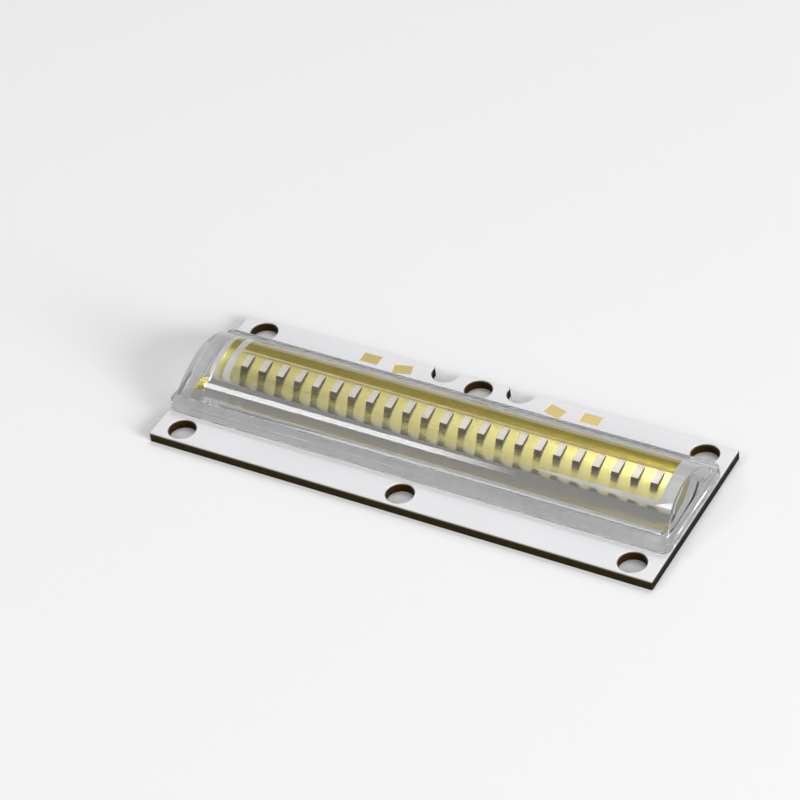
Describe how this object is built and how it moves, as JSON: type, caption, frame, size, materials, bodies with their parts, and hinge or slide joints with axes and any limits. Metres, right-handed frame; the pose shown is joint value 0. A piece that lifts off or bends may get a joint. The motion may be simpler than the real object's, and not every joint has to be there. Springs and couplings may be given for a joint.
{
  "type": "uv led curing module",
  "caption": "Copper-backed board with a row of UV chips under a long clear glass lens, screw holes round the edge and solder pads at the back",
  "frame": {"origin": "middle of the board's flat back face", "axes": "+X along the board, +Y towards the edge with the notches and solder pads, +Z out of the lens, the way the light goes"},
  "size_m": [0.078, 0.028, 0.0073],
  "materials": {
    "copper_plate": "gold-plated copper, satin",
    "insulation": "pale filled resin",
    "gold_track": "gold-plated copper foil, satin",
    "white_mask": "white ink, slightly satin",
    "solder": "satin",
    "uv_chip": "pale crystal with dark cut sides",
    "gold_wire": "bright drawn gold",
    "clear_silicone": "clear, glossy",
    "lens_glass": "clear, polished"
  },
  "bodies": {
    "root": {"base_plate": "copper_plate", "insulation_layer": "insulation", "chip_track": "gold_track", "busbar_track": "gold_track", "solder_mask": "white_mask", "die_solder": "solder", "uv_chip_01": "uv_chip", "uv_chip_02": "uv_chip", "uv_chip_03": "uv_chip", "uv_chip_04": "uv_chip", "uv_chip_05": "uv_chip", "uv_chip_06": "uv_chip", "uv_chip_07": "uv_chip", "uv_chip_08": "uv_chip", "uv_chip_09": "uv_chip", "uv_chip_10": "uv_chip", "uv_chip_11": "uv_chip", "uv_chip_12": "uv_chip", "uv_chip_13": "uv_chip", "uv_chip_14": "uv_chip", "uv_chip_15": "uv_chip", "uv_chip_16": "uv_chip", "uv_chip_17": "uv_chip", "uv_chip_18": "uv_chip", "uv_chip_19": "uv_chip", "uv_chip_20": "uv_chip", "uv_chip_21": "uv_chip", "uv_chip_22": "uv_chip", "uv_chip_23": "uv_chip", "bond_wires": "gold_wire", "lens_adhesive": "clear_silicone", "lens": "lens_glass"}
  },
  "joints": []
}
